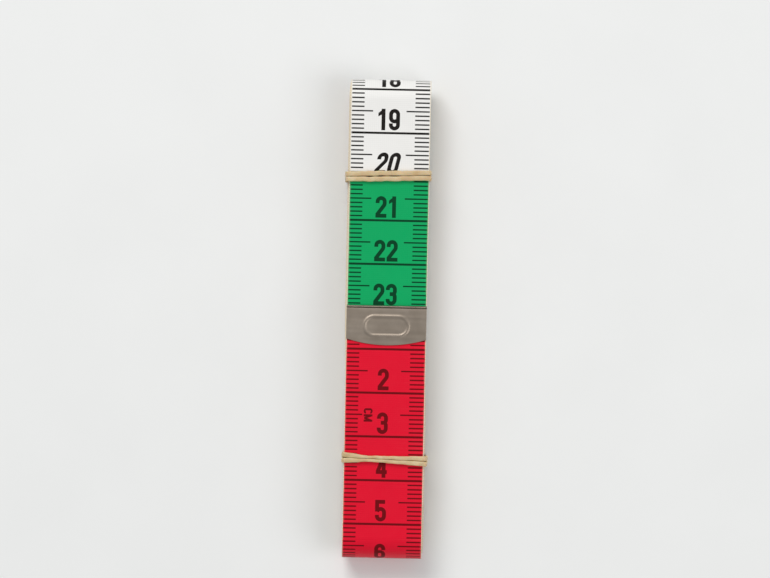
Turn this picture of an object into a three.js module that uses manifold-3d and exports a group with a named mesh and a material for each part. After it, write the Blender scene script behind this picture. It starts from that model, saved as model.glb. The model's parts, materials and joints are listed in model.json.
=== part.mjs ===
// A tailor's tape measure, wound flat into a hank that two doubled rubber bands hold.
// Millimetres, +Z up. The hank lies on its back: +Y runs along it to the upper fold, and +X across the tape.
// The origin is under the middle of the hank, on the surface that it lies on.
import * as THREE from "three";
import { mergeVertices } from "three/addons/utils/BufferGeometryUtils.js";
import Module from "manifold-3d";

// Tape: a coated cloth strip
const TAPE_LENGTH = 1500;
const TAPE_WIDTH = 18.3;
const TAPE_THICKNESS = 0.28;

// Hank: how the tape is wound, from the zero end on the front to the far end inside
const TURNS = 7;
const ZERO_FROM_LOWER_FOLD = 57.95;
const FAR_END_SHORT_OF_ZERO = 15;
const FOLD_STEPS = 12;

// End tips: a metal sheet folded over each end of the tape and pressed flat
const TIP_SHEET = 0.25;
const TIP_PRESS_GAP = 0.05;
const TIP_LAYER_CLEARANCE = 0.11;
const TIP_SIDE_LENGTH = 7.7;
const TIP_BOW = 1.4;
const TIP_BEND_STEPS = 8;
const TIP_BOW_STEPS = 20;

// Rubber bands: one loop each, put round the hank twice
const STRAND_WIDTH = 1.0;
const STRAND_THICKNESS = 0.7;
const STRAND_CHAMFER = 0.15;
const STRAND_GAP = 0.41;
const BAND_CLEARANCE = 0.3;
const UPPER_BAND_FROM_FOLD = 22.1;
const LOWER_BAND_FROM_FOLD = 22.8;
const UPPER_BAND_TILT = THREE.MathUtils.degToRad(1.7);
const LOWER_BAND_TILT = THREE.MathUtils.degToRad(-1.65);
const BAND_CORNER_STEPS = 4;
const BAND_CROSSING_STEPS = 16;

// Free end: the stretch above the lower band, which lifts off the hank
const LIFT_LINE_FROM_BAND = 0.6;
const LIFT_LINE_GAP = 0.4;

// Finishes
const RED_COAT = new THREE.MeshStandardMaterial({ color: 0xd90a2c, roughness: 0.42, metalness: 0 });
const WHITE_COAT = new THREE.MeshStandardMaterial({ color: 0xefeeea, roughness: 0.42, metalness: 0 });
const NICKEL = new THREE.MeshStandardMaterial({ color: 0x8a8074, roughness: 0.35, metalness: 1 });
const RUBBER = new THREE.MeshStandardMaterial({ color: 0xdcb98a, roughness: 0.6, metalness: 0 });

const wasm = await Module();
wasm.setup();

// The layers lie as far apart as one leaf of a tip needs.
const tipHalfThickness = TAPE_THICKNESS / 2 + TIP_PRESS_GAP + TIP_SHEET;
const layerPitch = TAPE_THICKNESS + TIP_PRESS_GAP + TIP_SHEET + TIP_LAYER_CLEARANCE;

// A turn runs down the front, round the lower fold, up the back and round the upper fold, and comes in by one
// layer. Heights are above the middle of the outermost back layer. All folds at one end share a centre.
const frontZ = 2 * TURNS * layerPitch;
const farEndZ = frontZ - TURNS * layerPitch;
const lowerRadius = frontZ / 2;
const upperRadius = (frontZ - layerPitch) / 2;

// The folds take up a known length, and what is left of the tape is shared out over the straight runs.
let foldedLength = 0;
for (let turn = 0; turn < TURNS; turn++) {
  foldedLength += Math.PI * (lowerRadius + upperRadius - 2 * turn * layerPitch);
}
const runLength = (TAPE_LENGTH + FAR_END_SHORT_OF_ZERO - foldedLength) / (2 * TURNS);
const hankEnd = (runLength + lowerRadius + upperRadius + TAPE_THICKNESS) / 2;
const lowerY = -hankEnd + TAPE_THICKNESS / 2 + lowerRadius;
const upperY = lowerY + runLength;
const zeroY = -hankEnd + ZERO_FROM_LOWER_FOLD;
const farEndY = zeroY + FAR_END_SHORT_OF_ZERO;

// The bands, and the lift line that the lower one sets for the free end
const upperBandY = hankEnd - UPPER_BAND_FROM_FOLD;
const lowerBandY = -hankEnd + LOWER_BAND_FROM_FOLD;
const bandHalfWidth = STRAND_WIDTH + STRAND_GAP / 2;
const bandReach = TAPE_WIDTH / 2 + BAND_CLEARANCE + STRAND_THICKNESS;
const lowerBandTop = lowerBandY + bandHalfWidth + bandReach * Math.abs(Math.sin(LOWER_BAND_TILT));
const liftLineY = lowerBandTop + LIFT_LINE_FROM_BAND;

// The hank is raised so that the bands under it touch the ground.
const hankBack = STRAND_THICKNESS + BAND_CLEARANCE;
const upperFrontHeight = frontZ - layerPitch + TAPE_THICKNESS;
const lowerFrontHeight = frontZ + TAPE_THICKNESS;

// A profile in Y and Z, drawn out across the tape and centred on it.
function acrossTape(profile, steps) {
  const yzx = new THREE.Matrix4().makeBasis(
    new THREE.Vector3(0, 1, 0),
    new THREE.Vector3(0, 0, 1),
    new THREE.Vector3(1, 0, 0),
  );
  const settings = { depth: TAPE_WIDTH, bevelEnabled: false, curveSegments: steps / 2 };
  return new THREE.ExtrudeGeometry(profile, settings).translate(0, 0, -TAPE_WIDTH / 2).applyMatrix4(yzx);
}

// The folds in the order in which the tape runs into the hank. Each is a half circle that starts at an angle.
function windingFolds() {
  const folds = [];
  for (let turn = 0; turn < TURNS; turn++) {
    const inwards = turn * layerPitch;
    folds.push({ y: lowerY, z: lowerRadius, radius: lowerRadius - inwards, start: Math.PI / 2 });
    folds.push({ y: upperY, z: upperRadius, radius: upperRadius - inwards, start: -Math.PI / 2 });
  }
  return folds;
}

// The runs are the straight lines that join one fold to the next.
function followInwards(path, offset) {
  for (const { y, z, radius, start } of windingFolds()) {
    path.absarc(y, z, radius + offset, start, start + Math.PI, false);
  }
}

function followOutwards(path, offset) {
  for (const { y, z, radius, start } of windingFolds().reverse()) {
    path.absarc(y, z, radius + offset, start + Math.PI, start, true);
  }
}

function tapeWinding() {
  const half = TAPE_THICKNESS / 2;
  const startY = liftLineY - LIFT_LINE_GAP / 2;
  const endY = farEndY + tipHalfThickness;
  const profile = new THREE.Shape();
  profile.moveTo(startY, frontZ + half);
  profile.lineTo(lowerY, frontZ + half);
  followInwards(profile, half);
  profile.lineTo(endY, farEndZ + half);
  profile.lineTo(endY, farEndZ - half);
  followOutwards(profile, -half);
  profile.lineTo(startY, frontZ - half);
  profile.closePath();
  return acrossTape(profile, FOLD_STEPS);
}

function tapeFreeEnd() {
  const from = liftLineY + LIFT_LINE_GAP / 2;
  const to = zeroY - tipHalfThickness;
  return new THREE.BoxGeometry(TAPE_WIDTH, to - from, TAPE_THICKNESS).translate(0, (from + to) / 2, frontZ);
}

// Solids for the cut that gives a tip its bowed edge
function solidFrom(geometry) {
  const bare = geometry.clone();
  bare.deleteAttribute("normal");
  bare.deleteAttribute("uv");
  const merged = mergeVertices(bare);
  const mesh = new wasm.Mesh({
    numProp: 3,
    vertProperties: merged.attributes.position.array,
    triVerts: new Uint32Array(merged.index.array),
  });
  return new wasm.Manifold(mesh);
}

function geometryFrom(solid) {
  const mesh = solid.getMesh();
  const geometry = new THREE.BufferGeometry();
  geometry.setAttribute("position", new THREE.BufferAttribute(mesh.vertProperties, 3));
  geometry.setIndex(new THREE.BufferAttribute(mesh.triVerts, 1));
  geometry.computeVertexNormals();
  return geometry;
}

// The sheet folded round the tape's end, with its bend at Y 0 and its two leaves towards -Y.
function tipFold() {
  const outer = tipHalfThickness;
  const inner = outer - TIP_SHEET;
  const leafEnd = -TIP_SIDE_LENGTH - TIP_BOW;
  const profile = new THREE.Shape();
  profile.moveTo(leafEnd, outer);
  profile.lineTo(-outer, outer);
  profile.absarc(-outer, 0, outer, Math.PI / 2, -Math.PI / 2, true);
  profile.lineTo(leafEnd, -outer);
  profile.lineTo(leafEnd, -inner);
  profile.absarc(-outer, 0, inner, -Math.PI / 2, Math.PI / 2, false);
  profile.lineTo(leafEnd, inner);
  profile.closePath();
  return acrossTape(profile, TIP_BEND_STEPS);
}

// The tip's outline from the front: square at the bend, bowed at the other edge.
function tipOutline() {
  const half = TAPE_WIDTH / 2;
  const bowRadius = (half * half + TIP_BOW * TIP_BOW) / (2 * TIP_BOW);
  const bowAngle = Math.asin(half / bowRadius);
  const middle = -Math.PI / 2;
  const bowCentreY = bowRadius - TIP_SIDE_LENGTH - TIP_BOW;
  const beyondBend = tipHalfThickness;
  const outline = new THREE.Shape();
  outline.moveTo(half, beyondBend);
  outline.lineTo(-half, beyondBend);
  outline.absarc(0, bowCentreY, bowRadius, middle - bowAngle, middle + bowAngle, false);
  outline.closePath();
  const depth = 4 * tipHalfThickness;
  const settings = { depth, bevelEnabled: false, curveSegments: TIP_BOW_STEPS / 2 };
  return new THREE.ExtrudeGeometry(outline, settings).translate(0, 0, -depth / 2);
}

function endTip() {
  return geometryFrom(solidFrom(tipFold()).intersect(solidFrom(tipOutline())));
}

// The line that a strand's middle follows round the hank: a rounded rectangle in X and Z, anticlockwise from
// the middle of the +X side. Its curves are straight and corner by turns.
const CROSSING_CURVE = 4;

function bandRound(height) {
  const radius = BAND_CLEARANCE + STRAND_THICKNESS / 2;
  const x = TAPE_WIDTH / 2;
  const z = height / 2;
  const quarter = Math.PI / 2;
  const round = new THREE.Path();
  round.moveTo(x + radius, 0);
  round.lineTo(x + radius, z);
  round.absarc(x, z, radius, 0, quarter, false);
  round.absarc(-x, z, radius, quarter, 2 * quarter, false);
  round.absarc(-x, -z, radius, 2 * quarter, 3 * quarter, false);
  round.absarc(x, -z, radius, 3 * quarter, 4 * quarter, false);
  round.lineTo(x + radius, 0);
  return round;
}

// Where a band's rings stand, as shares of one round: close together in the corners and over the crossing on
// the -X side, and only at the ends of the other straight stretches.
function bandStations(round) {
  const lengths = round.curves.map((curve) => curve.getLength());
  const total = round.getLength();
  const shareBefore = (index) => lengths.slice(0, index).reduce((sum, length) => sum + length, 0) / total;
  const crossingStart = shareBefore(CROSSING_CURVE);
  const crossingEnd = shareBefore(CROSSING_CURVE + 1);
  const stations = [];
  round.curves.forEach((curve, index) => {
    const otherSteps = curve.isLineCurve ? 1 : BAND_CORNER_STEPS;
    const steps = index === CROSSING_CURVE ? BAND_CROSSING_STEPS : otherSteps;
    const from = shareBefore(index);
    const to = shareBefore(index + 1);
    for (let step = 0; step < steps; step++) stations.push(THREE.MathUtils.lerp(from, to, step / steps));
  });
  return { stations, crossingStart, crossingEnd };
}

// A doubled band round layers of that height, centred on them. Its two strands lie side by side. On the -X
// side the first climbs over the second as they change places, so the loop closes after two rounds.
function doubledBand(height) {
  const round = bandRound(height);
  const { stations, crossingStart, crossingEnd } = bandStations(round);
  const { lerp, smoothstep } = THREE.MathUtils;
  const climbed = lerp(crossingStart, crossingEnd, 1 / 4);
  const descending = lerp(crossingStart, crossingEnd, 3 / 4);
  const apart = (STRAND_WIDTH + STRAND_GAP) / 2;
  const climb = STRAND_THICKNESS + STRAND_GAP;
  const ringAt = (share, isOver) => {
    const place = round.getPoint(share);
    const along = round.getTangent(share);
    const outwards = new THREE.Vector3(along.y, 0, -along.x);
    const changed = smoothstep(share, climbed, descending);
    const up = smoothstep(share, crossingStart, climbed) - smoothstep(share, descending, crossingEnd);
    const side = isOver ? 1 - 2 * changed : 2 * changed - 1;
    const middle = new THREE.Vector3(place.x, apart * side, place.y);
    return { middle: middle.addScaledVector(outwards, isOver ? climb * up : 0), outwards };
  };
  const firstRound = stations.map((share) => ringAt(share, true));
  const secondRound = stations.map((share) => ringAt(share, false));
  return sweepStrand([...firstRound, ...secondRound]);
}

// A strand's section: a flat strip with its edges broken
function strandSection() {
  const w = STRAND_WIDTH / 2;
  const t = STRAND_THICKNESS / 2;
  const c = STRAND_CHAMFER;
  const corners = [];
  for (const [x, z] of [[1, 1], [-1, 1], [-1, -1], [1, -1]]) {
    const onSide = [x * w, z * (t - c)];
    const onFace = [x * (w - c), z * t];
    corners.push(...(x * z > 0 ? [onSide, onFace] : [onFace, onSide]));
  }
  return corners;
}

// The section carried along rings that close on themselves, as one surface.
function sweepStrand(rings) {
  const section = strandSection();
  const sides = section.length;
  const positions = [];
  const indices = [];
  rings.forEach(({ middle, outwards }, index) => {
    const next = (index + 1) % rings.length;
    const before = rings.at(index - 1).middle;
    const along = rings[next].middle.clone().sub(before).normalize();
    const sideways = new THREE.Vector3().crossVectors(outwards, along).normalize();
    const up = new THREE.Vector3().crossVectors(along, sideways);
    section.forEach(([a, b], side) => {
      const corner = middle.clone().addScaledVector(sideways, a).addScaledVector(up, b);
      positions.push(...corner.toArray());
      const beside = (side + 1) % sides;
      const here = [index * sides + side, index * sides + beside];
      const there = [next * sides + side, next * sides + beside];
      indices.push(here[0], here[1], there[0], here[1], there[1], there[0]);
    });
  });
  const geometry = new THREE.BufferGeometry();
  geometry.setAttribute("position", new THREE.Float32BufferAttribute(positions, 3));
  geometry.setIndex(indices);
  geometry.computeVertexNormals();
  return geometry;
}

// Least gaps of the wound pieces to themselves, measured on points. Points that lie close together along the
// piece aren't compared.
function leastDistance(points, areApart) {
  let least = Infinity;
  for (let i = 0; i < points.length; i++) {
    for (let j = i + 1; j < points.length; j++) {
      if (areApart(i, j)) least = Math.min(least, points[i].distanceTo(points[j]));
    }
  }
  return least;
}

function windingGap() {
  const middle = new THREE.Path();
  middle.moveTo(liftLineY, frontZ);
  middle.lineTo(lowerY, frontZ);
  followInwards(middle, 0);
  middle.lineTo(farEndY, farEndZ);
  const points = middle.getSpacedPoints(Math.round(middle.getLength() / layerPitch));
  const stepsRoundABend = Math.PI;
  return leastDistance(points, (i, j) => j - i > stepsRoundABend) - TAPE_THICKNESS;
}

function bandGap(band) {
  const position = band.geometry.getAttribute("position");
  const points = [];
  for (let i = 0; i < position.count; i++) points.push(new THREE.Vector3().fromBufferAttribute(position, i));
  const quarterOfTheLoop = position.count / 4;
  const areApart = (i, j) => Math.min(j - i, position.count - (j - i)) > quarterOfTheLoop;
  return leastDistance(points, areApart);
}

// Assembly
function piece(name, geometry, material, place) {
  const mesh = new THREE.Mesh(geometry, material);
  mesh.name = name;
  mesh.position.set(...place);
  return mesh;
}

const tapeMeasure = new THREE.Group();

const layers = new THREE.Group();
layers.position.z = hankBack + TAPE_THICKNESS / 2;
tapeMeasure.add(layers);
layers.add(piece("tape_winding", tapeWinding(), WHITE_COAT, [0, 0, 0]));
layers.add(piece("tape_free_end", tapeFreeEnd(), RED_COAT, [0, 0, 0]));
layers.add(piece("zero_end_tip", endTip(), NICKEL, [0, zeroY, frontZ]));

const farTip = piece("far_end_tip", endTip(), NICKEL, [0, farEndY, farEndZ]);
farTip.rotation.z = Math.PI;
layers.add(farTip);

// The upper band crosses over itself on the left side, and the lower one, turned round, on the right.
const upperBandPlace = [0, upperBandY, hankBack + upperFrontHeight / 2];
const upperBand = piece("upper_rubber_band", doubledBand(upperFrontHeight), RUBBER, upperBandPlace);
upperBand.rotation.z = UPPER_BAND_TILT;
tapeMeasure.add(upperBand);

const lowerBandPlace = [0, lowerBandY, hankBack + lowerFrontHeight / 2];
const lowerBand = piece("lower_rubber_band", doubledBand(lowerFrontHeight), RUBBER, lowerBandPlace);
lowerBand.rotation.z = Math.PI + LOWER_BAND_TILT;
tapeMeasure.add(lowerBand);

console.log(`tape_winding: least gap to itself ${windingGap().toFixed(3)} mm`);
for (const band of [upperBand, lowerBand]) {
  console.log(`${band.name}: least gap to itself ${bandGap(band).toFixed(3)} mm`);
}

export default tapeMeasure;
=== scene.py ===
import json
import math

import bpy
import numpy as np
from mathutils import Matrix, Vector
from mathutils.geometry import delaunay_2d_cdt


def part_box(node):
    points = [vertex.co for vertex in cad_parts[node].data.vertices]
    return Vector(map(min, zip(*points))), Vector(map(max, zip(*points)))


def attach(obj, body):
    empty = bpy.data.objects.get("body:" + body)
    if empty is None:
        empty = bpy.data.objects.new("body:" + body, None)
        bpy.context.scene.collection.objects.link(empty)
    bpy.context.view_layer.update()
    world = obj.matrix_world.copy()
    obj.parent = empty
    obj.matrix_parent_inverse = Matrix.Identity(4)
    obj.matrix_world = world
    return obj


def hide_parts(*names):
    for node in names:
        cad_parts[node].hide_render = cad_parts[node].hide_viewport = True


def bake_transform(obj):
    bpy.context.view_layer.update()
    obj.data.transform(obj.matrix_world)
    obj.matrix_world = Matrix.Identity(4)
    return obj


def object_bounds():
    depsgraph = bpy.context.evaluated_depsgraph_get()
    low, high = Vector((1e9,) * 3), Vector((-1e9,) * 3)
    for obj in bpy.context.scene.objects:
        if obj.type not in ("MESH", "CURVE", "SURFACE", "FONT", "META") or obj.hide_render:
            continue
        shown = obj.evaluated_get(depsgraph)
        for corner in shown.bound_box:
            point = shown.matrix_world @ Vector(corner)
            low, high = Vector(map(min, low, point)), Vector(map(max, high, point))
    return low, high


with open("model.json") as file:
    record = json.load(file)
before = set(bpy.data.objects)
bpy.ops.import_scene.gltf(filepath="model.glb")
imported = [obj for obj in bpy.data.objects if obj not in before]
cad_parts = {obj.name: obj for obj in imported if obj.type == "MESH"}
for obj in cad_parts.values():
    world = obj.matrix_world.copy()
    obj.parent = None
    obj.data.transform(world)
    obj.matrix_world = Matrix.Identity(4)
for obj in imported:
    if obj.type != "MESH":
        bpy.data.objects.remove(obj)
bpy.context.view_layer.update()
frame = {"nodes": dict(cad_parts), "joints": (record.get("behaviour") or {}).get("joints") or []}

MM = 0.001
CENTIMETRE = 10 * MM

# The photograph's frame, its scale, and where the middle of the hank lies in it
PHOTO_WIDTH = 770
PHOTO_HEIGHT = 578
PIXELS_PER_MM = 4.375
HANK_PIXEL = (386.5, 319.1)
HANK_LEAN = math.radians(1.2)
CAMERA_HEIGHT = 1000 * MM
SENSOR_WIDTH = 36

# The tape's sizes, taken from the frame
winding_low, winding_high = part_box("tape_winding")
free_low, free_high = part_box("tape_free_end")
tip_low, tip_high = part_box("zero_end_tip")
far_tip_low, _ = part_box("far_end_tip")
lift_joint = next(joint for joint in frame["joints"] if joint["name"] == "free_end_lift")

TURNS = 7
TAPE_LENGTH = 1500 * MM
tape_width = winding_high.x - winding_low.x
half_width = tape_width / 2
half_solid = (free_high.z - free_low.z) / 2
back_z = winding_low.z + half_solid
front_z = winding_high.z - half_solid
layer_pitch = (front_z - back_z) / (2 * TURNS)
lower_radius = TURNS * layer_pitch
upper_radius = lower_radius - layer_pitch / 2
lower_y = winding_low.y + half_solid + lower_radius
upper_y = winding_high.y - half_solid - upper_radius
zero_y = tip_high.y
far_y = far_tip_low.y
tip_depth = tip_high.y - tip_low.y
tape_end_in_tip = zero_y - free_high.y
lift_y = lift_joint["pos_m"][1]
lift_length = zero_y - lift_y

# How finely the tape is divided
RUN_STEP = 3 * MM
FOLD_STEPS = 32
BEND_LENGTH = 4.5 * MM
BEND_STEP = 0.3 * MM
STATION_DIGITS = 8

# Lengths in metres, and shares of a centimetre, that count as the same if they differ by less
SAME_LENGTH = 1e-9
SAME_PLACE_ACROSS = 1e-7
SAME_SHARE = 1e-5

# The seam between the free end and the winding lies under the lower band
SEAM_BELOW_LIFT_LINE = 2.3 * MM
SEAM_GAP = 0.01 * MM
seam = lift_length + SEAM_BELOW_LIFT_LINE

# How far each turn strays sideways at the folds, in mm, and where the one stray passes into the other
UPPER_STRAY = [0, -0.18, -0.30, -0.24, -0.38, -0.32, -0.16]
LOWER_STRAY = [0, 0, 0.20, 0.12, 0.28, 0.22, 0.08]
STRAY_FROM = -27 * MM
STRAY_TO = 3 * MM

# How the layers under the front one bulge a little
WAVE_HEIGHT = 0.15 * MM
WAVE_LENGTHS = (59 * MM, 41 * MM, 27 * MM)
WAVES_FROM = 300 * MM
WAVES_FULL = 420 * MM
WAVES_FADE = 450 * MM

# The coated cloth is thicker than its plain solid, except where a tip grips it
CLOTH_THICKNESS = 0.42 * MM
GRIP_FADE = 1.0 * MM
half_cloth = CLOTH_THICKNESS / 2
cloth_past_solid = half_cloth - half_solid

# The coat ends a little inside the cut edges
EDGE_INSET = 0.14 * MM
EDGE_ROUND = 0.08 * MM
coat_edge = half_width - EDGE_INSET

# Coats, in their order along the tape, and how far the front is printed
COLOURS = ("red", "white", "green")
COLOUR_BLOCK = 100 * MM
PRINTED_LENGTH = 600.5 * MM

# A cell of print ends a little after its centimetre line, and its ink keeps clear of the next cell
CELL_AFTER_LINE = 0.5 * MM
PRINT_MARGIN = 0.1 * MM
INK_CLEAR_OF_CELL = 0.005 * MM
CUT_PRECISION_IN_MM = 1e-5

# Lines and ticks
LINE_THICKNESS = 0.5 * MM
TICK_THICKNESS = 0.33 * MM
TICKS_PER_CM = 10
HALF_TICK = 5
LEFT_TICK = 3.1 * MM
RIGHT_TICK = 3.55 * MM
HALF_TICK_EXTRA = 2.0 * MM

# Numbers. Every tenth one leans, and the long ones are narrower
FIRST_NUMBER = 2
BASELINE_BEFORE_LINE = 0.62 * MM
NUMBER_OFF_CENTRE = -0.45 * MM
LEANING_EVERY = 10
ITALIC_SHEAR = 0.24
LONG_NUMBER = 100
LONG_NUMBER_SQUEEZE = 0.88

# Digits and letters
DIGIT_HEIGHT = 4.92 * MM
DIGIT_WIDTH = 2.5 * MM
DIGIT_STROKE = 0.88 * MM
DIGIT_GAP = 0.34 * MM
NARROW_WIDTH = 2.32 * MM
WIDE_WIDTH = 3.4 * MM
WAIST_SHARE = 0.52
VEE_HEIGHT = 0.4 * MM
ARC_STEP = 12
LEAST_MITRE = 0.5

# The slanted flag of the 1, whose end is cut upright. Depths are below the top of the digit
FLAG_START = 0.2 * MM
FLAG_LENGTH = 1.18 * MM
FLAG_END_TOP = 0.98 * MM
FLAG_END_FOOT = 1.78 * MM
FLAG_ROOT_FOOT = 1.1 * MM

# The unit mark, which reads along the tape
UNIT_MARK = "CM"
UNIT_MARK_NUMBER = 3
UNIT_MARK_OFF_CENTRE = -4.75 * MM
UNIT_MARK_HEIGHT = 2.0 * MM
UNIT_MARK_LENGTH = 3.03 * MM
UNIT_MARK_BEFORE_LINE = 6.41 * MM
UNIT_MARK_OFF_TICK = 0.35 * MM
UNIT_MARK_STROKE = 0.95 * MM

# The map of the meshes' flat places, and the angle up to which their edges are shaded smooth
FLAT_MAP = "flat"
SMOOTH_UP_TO = math.radians(35)


def smoothstep(value, start, end):
    """A share that goes from 0 at the start to 1 at the end, with no kink at either."""
    share = np.clip((value - start) / (end - start), 0.0, 1.0)
    return share * share * (3 - 2 * share)


# The tape's route
def winding_rows():
    """Rows of length from the zero end, y, z, outward y and z, and the stray at the two folds."""
    rows = []
    length = 0.0

    def run(y_from, y_to, z, facing, strays):
        nonlocal length
        distance = abs(y_to - y_from)
        steps = math.ceil(distance / RUN_STEP)
        for step in range(steps):
            share = step / steps
            y = y_from + (y_to - y_from) * share
            rows.append((length + distance * share, y, z, 0.0, facing, *strays))
        length += distance

    def fold(y, z, radius, start, strays):
        nonlocal length
        for step in range(FOLD_STEPS):
            angle = start + math.pi * step / FOLD_STEPS
            out_y = math.cos(angle)
            out_z = math.sin(angle)
            reached = length + radius * math.pi * step / FOLD_STEPS
            rows.append((reached, y + radius * out_y, z + radius * out_z, out_y, out_z, *strays))
        length += radius * math.pi

    y = zero_y
    upper = 0.0
    for turn in range(TURNS):
        inwards = turn * layer_pitch
        lower = LOWER_STRAY[turn] * MM
        run(y, lower_y, front_z - inwards, 1.0, (upper, lower))
        upper = UPPER_STRAY[turn] * MM
        fold(lower_y, back_z + lower_radius, lower_radius - inwards, math.pi / 2, (upper, lower))
        run(lower_y, upper_y, back_z + inwards, -1.0, (upper, lower))
        fold(upper_y, back_z + upper_radius, upper_radius - inwards, -math.pi / 2, (upper, lower))
        y = upper_y
    last_z = front_z - TURNS * layer_pitch
    run(upper_y, far_y, last_z, 1.0, (upper, 0.0))
    rows.append((length, far_y, last_z, 0.0, 1.0, upper, 0.0))
    return np.array(rows)


class Route:
    """Where every point of the flat tape lies in the hank. Lengths are from the zero end."""

    def __init__(self):
        rows = winding_rows()
        at = rows[:, 0]
        self.length = rows[-1, 0]
        self.stations = np.unique(np.round(np.concatenate([at, self.marked_lengths()]), STATION_DIGITS))
        y, z, out_y, out_z, upper, lower = [
            np.interp(self.stations, at, column) for column in rows[:, 1:].T
        ]
        bulge = self.bulge(self.stations)
        self.out_y = out_y
        self.out_z = out_z
        self.y = y + out_y * bulge
        self.z = z + out_z * bulge
        self.x = lower + (upper - lower) * smoothstep(y, STRAY_FROM, STRAY_TO)

    def marked_lengths(self):
        """Lengths that need a station besides the route's own."""
        cells = np.arange(CELL_AFTER_LINE, PRINTED_LENGTH, CENTIMETRE)
        reverse_cells = np.arange(CENTIMETRE - CELL_AFTER_LINE, seam, CENTIMETRE)
        colours = np.arange(COLOUR_BLOCK, TAPE_LENGTH, COLOUR_BLOCK)
        bend = np.arange(lift_length - BEND_LENGTH, lift_length + BEND_STEP, BEND_STEP)
        ends = [tape_end_in_tip, seam, seam + SEAM_GAP, PRINTED_LENGTH, self.length - tape_end_in_tip]
        return np.concatenate([cells, reverse_cells, colours, bend, ends])

    def bulge(self, at):
        """How far the tape lies outside its even winding. Each wave has a phase of its own."""
        waves = [np.sin(2 * np.pi * at / wave + wave / MM) for wave in WAVE_LENGTHS]
        grows = smoothstep(at, WAVES_FROM, WAVES_FULL)
        fades = smoothstep(self.length - at, 0, WAVES_FADE)
        return WAVE_HEIGHT * (sum(waves) / len(waves)) * grows * fades

    def places(self, at, across, height):
        """Places of points at those lengths, distances across the tape and heights over its middle."""
        columns = (self.x, self.y, self.z, self.out_y, self.out_z)
        x, y, z, out_y, out_z = [np.interp(at, self.stations, column) for column in columns]
        from_end = np.minimum(at, self.length - at)
        loose = smoothstep(from_end, tip_depth, tip_depth + GRIP_FADE)
        height = height * (half_solid + cloth_past_solid * loose) / half_cloth
        return np.stack([x + across, y + out_y * height, z + out_z * height], axis=1)


# Lines that the strokes of the digits follow, in a box of the digit's width and height
half_stroke = DIGIT_STROKE / 2
left = half_stroke
right = DIGIT_WIDTH - half_stroke
bottom = half_stroke
top = DIGIT_HEIGHT - half_stroke
middle = DIGIT_WIDTH / 2
waist = DIGIT_HEIGHT * WAIST_SHARE
bowl = (right - left) / 2
small_bowl = bowl - 0.06 * MM
upper_centre = top - bowl
lower_centre = bottom + bowl
waist_centre = waist - bowl + 0.3 * MM
hook = 0.35 * MM
notch = (right - 0.34 * MM, waist)
stem = FLAG_START + FLAG_LENGTH
post = right - 0.3 * MM
crossbar = 1.3 * MM
wide_right = WIDE_WIDTH - half_stroke
vee = (WIDE_WIDTH / 2, VEE_HEIGHT)


def arc(y, start, end, radius=bowl):
    """Points of an arc about the middle of the digit, with angles in degrees."""
    steps = max(2, round(abs(end - start) / ARC_STEP))
    angles = np.radians(np.linspace(start, end, steps + 1))
    return [(middle + radius * math.cos(a), y + radius * math.sin(a)) for a in angles]


def turned(stroke):
    """The stroke turned half round in its box."""
    return [(DIGIT_WIDTH - x, DIGIT_HEIGHT - y) for x, y in stroke]


def closed(stroke):
    """The stroke, run on to its start."""
    return [*stroke, stroke[0]]


six = [
    (right, upper_centre - hook),
    *arc(upper_centre, 0, 180),
    *arc(lower_centre, 180, 360),
    *arc(waist_centre, 0, 165),
]
GLYPHS = {
    "0": [closed(arc(upper_centre, 180, 0) + arc(lower_centre, 0, -180))],
    "1": [[(stem, 0), (stem, DIGIT_HEIGHT)]],
    "2": [
        [
            (left, upper_centre - hook),
            *arc(upper_centre, 180, 0),
            *arc(upper_centre - 0.4 * MM, 0, -38),
            (left, bottom + 0.36 * MM),
            (left, bottom),
        ],
        [(0, bottom), (DIGIT_WIDTH, bottom)],
    ],
    "3": [
        [
            (left, upper_centre - 0.2 * MM),
            *arc(upper_centre, 180, 0),
            *arc(waist + 0.65 * MM, 0, -35),
            notch,
        ],
        [(middle - 0.35 * MM, waist), notch],
        [
            notch,
            *arc(waist - 0.65 * MM, 35, 0),
            *arc(lower_centre, 0, -180),
            (left, lower_centre + 0.2 * MM),
        ],
    ],
    "4": [
        [(post, 0), (post, DIGIT_HEIGHT)],
        [(right - 0.42 * MM, top + 0.2 * MM), (left, 1.5 * MM)],
        [(0, crossbar), (DIGIT_WIDTH, crossbar)],
    ],
    "5": [
        [(right + 0.2 * MM, top), (left, top), (left, waist - 0.3 * MM)],
        [
            (left, waist - 0.25 * MM),
            *arc(waist_centre, 150, 0),
            *arc(lower_centre, 0, -180),
            (left, lower_centre + 0.25 * MM),
        ],
    ],
    "6": [six],
    "7": [
        [(0, top), (right - 0.1 * MM, top)],
        [(right, DIGIT_HEIGHT), (right, top), (middle - 0.35 * MM, 0)],
    ],
    "8": [
        closed(
            arc(top - small_bowl, 180, 0, small_bowl)
            + arc(waist + small_bowl + 0.05 * MM, 0, -180, small_bowl)
        ),
        closed(arc(waist - bowl + 0.1 * MM, 180, 0) + arc(lower_centre, 0, -180)),
    ],
    "9": [turned(six)],
    "C": [arc(upper_centre, 0, 180) + arc(lower_centre, 180, 360)],
    "M": [
        [(left, 0), (left, DIGIT_HEIGHT)],
        [(wide_right, 0), (wide_right, DIGIT_HEIGHT)],
        [(left, top), vee],
        [vee, (wide_right, top)],
    ],
}
GLYPH_WIDTHS = {"1": NARROW_WIDTH, "M": WIDE_WIDTH}
FLAG = [
    (FLAG_START, DIGIT_HEIGHT - FLAG_END_TOP),
    (stem, DIGIT_HEIGHT),
    (stem, DIGIT_HEIGHT - FLAG_ROOT_FOOT),
    (FLAG_START, DIGIT_HEIGHT - FLAG_END_FOOT),
]


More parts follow.
